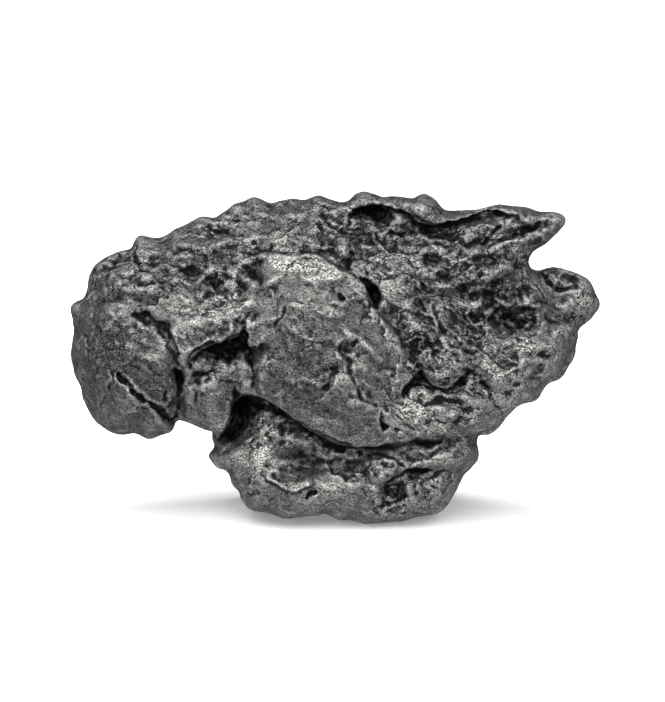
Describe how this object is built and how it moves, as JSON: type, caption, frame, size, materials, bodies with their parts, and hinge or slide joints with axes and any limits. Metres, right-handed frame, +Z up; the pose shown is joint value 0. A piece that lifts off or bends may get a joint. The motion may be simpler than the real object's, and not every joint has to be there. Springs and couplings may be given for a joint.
{
  "type": "meteorite",
  "caption": "Iron meteorite specimen, folded and pitted all over, that stands upright on its narrow foot.",
  "frame": {"origin": "centre of the bounding box's base, on the plane the stone stands on", "axes": "+X to the right along the broad face's length, +Z up, the broad detailed face looks towards -Y and a little up"},
  "size_m": [0.079, 0.0336, 0.0478],
  "materials": {
    "meteoric_iron": "dark grey nickel iron, rubbed bright on ridges and edges, blackened in cracks and pits"
  },
  "bodies": {
    "root": {"meteorite": "meteoric_iron"}
  },
  "joints": []
}
